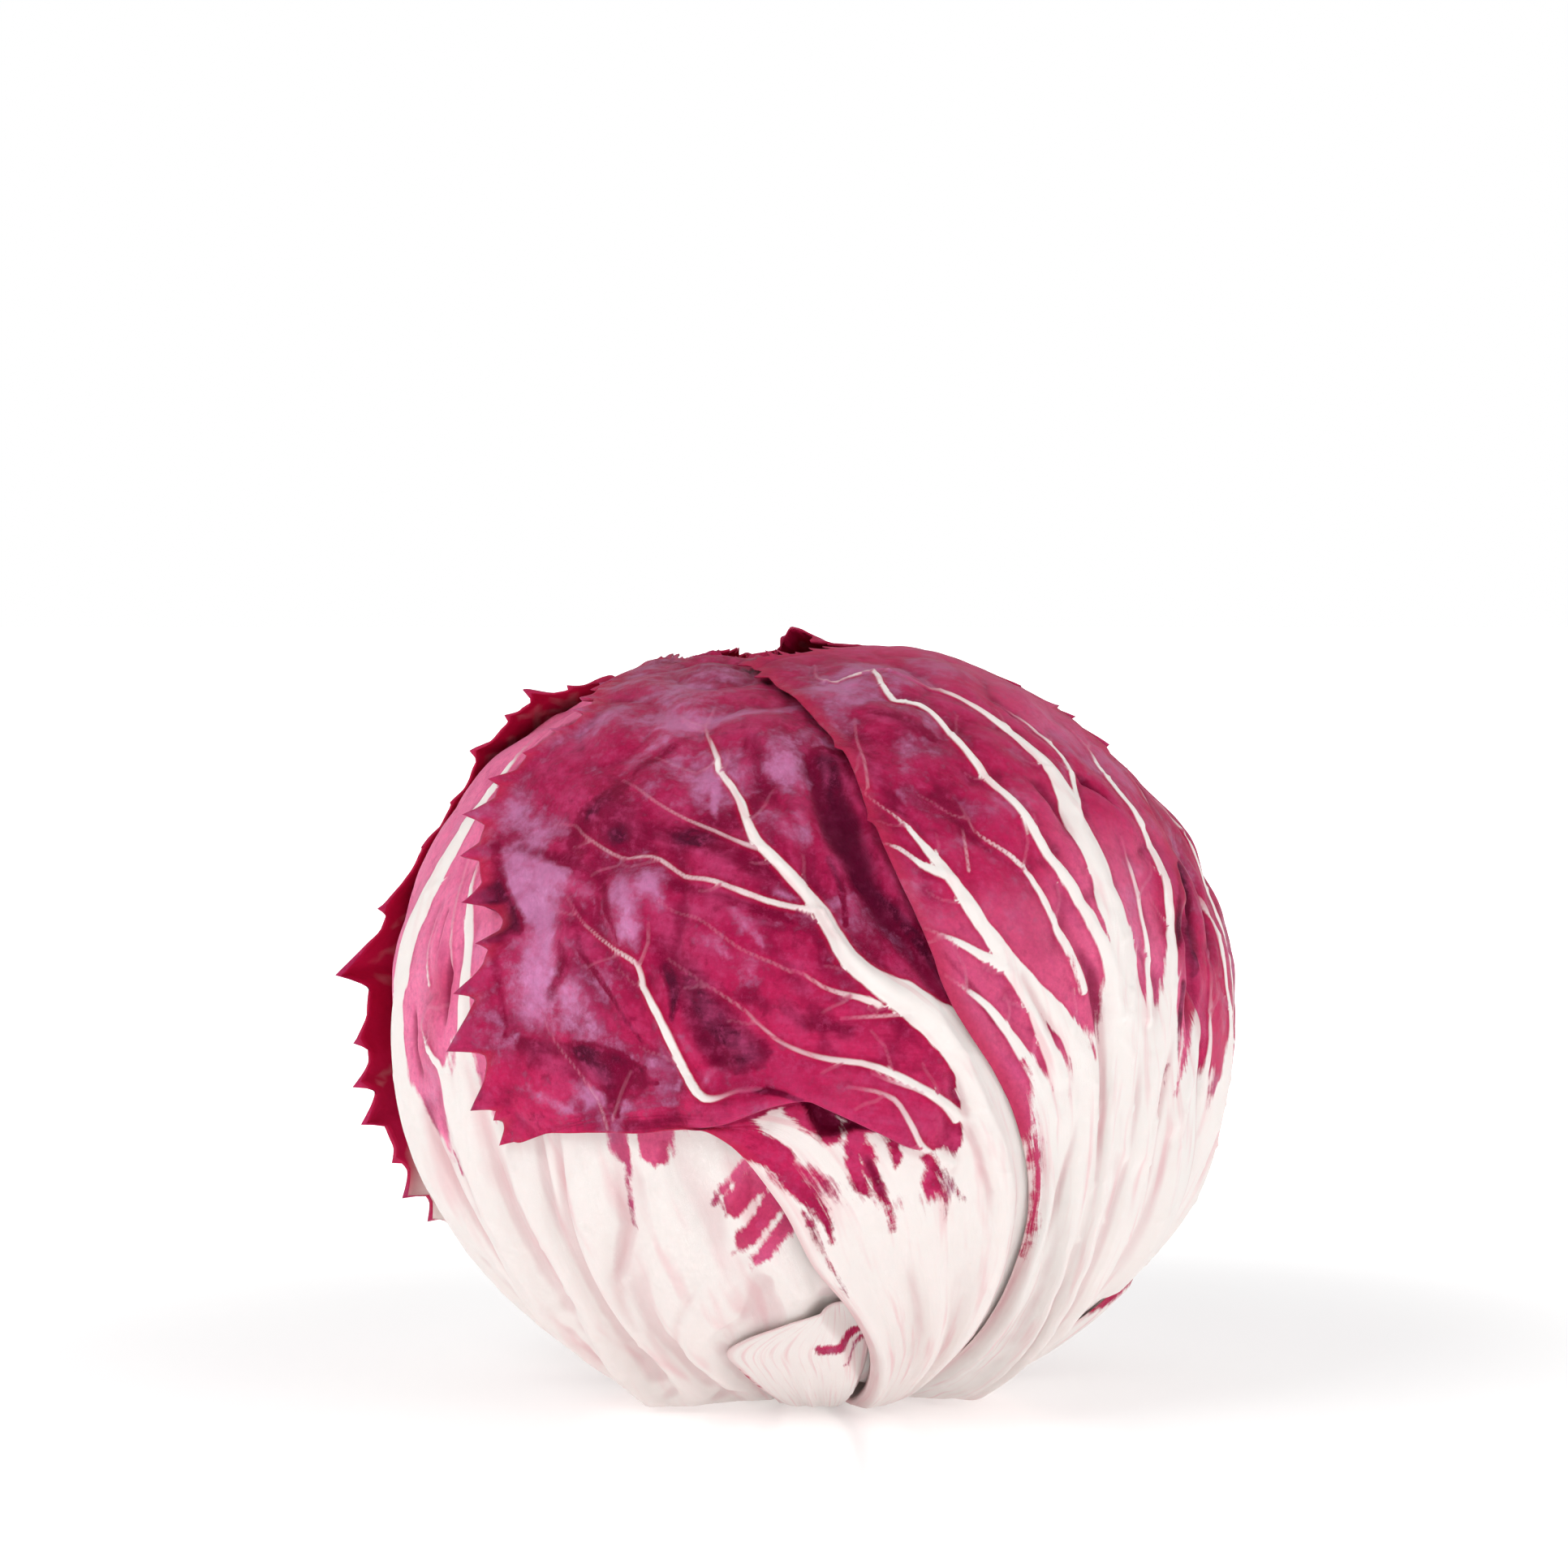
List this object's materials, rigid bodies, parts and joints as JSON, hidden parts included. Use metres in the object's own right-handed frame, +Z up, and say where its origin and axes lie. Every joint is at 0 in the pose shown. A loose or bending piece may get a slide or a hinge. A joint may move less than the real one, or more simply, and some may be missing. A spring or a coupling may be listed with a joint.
{
  "type": "radicchio head",
  "caption": "Round radicchio head: toothed crimson leaves with pale fluted ribs wrapped over a dense heart on a cut stem.",
  "frame": {"origin": "middle of the stem's cut face, which the head stands on", "axes": "+Z up from the cut face to the crown; -Y towards the front, where one leaf lies crosswise over the next; +X to the right"},
  "size_m": [0.1295, 0.1226, 0.1086],
  "materials": {
    "leaf": "waxy crimson leaf, satin",
    "leaf_base": "cream-white fleshy rib, satin"
  },
  "bodies": {
    "root": {"right_bract": "leaf_base", "left_back_leaf": "leaf", "back_leaf": "leaf", "right_back_leaf": "leaf", "right_leaf": "leaf", "front_leaf": "leaf", "front_bract": "leaf_base", "left_leaf": "leaf", "inner_leaf_1": "leaf", "inner_leaf_2": "leaf", "inner_leaf_3": "leaf", "inner_leaf_4": "leaf", "heart": "leaf", "cut_stem": "leaf_base"}
  },
  "joints": []
}
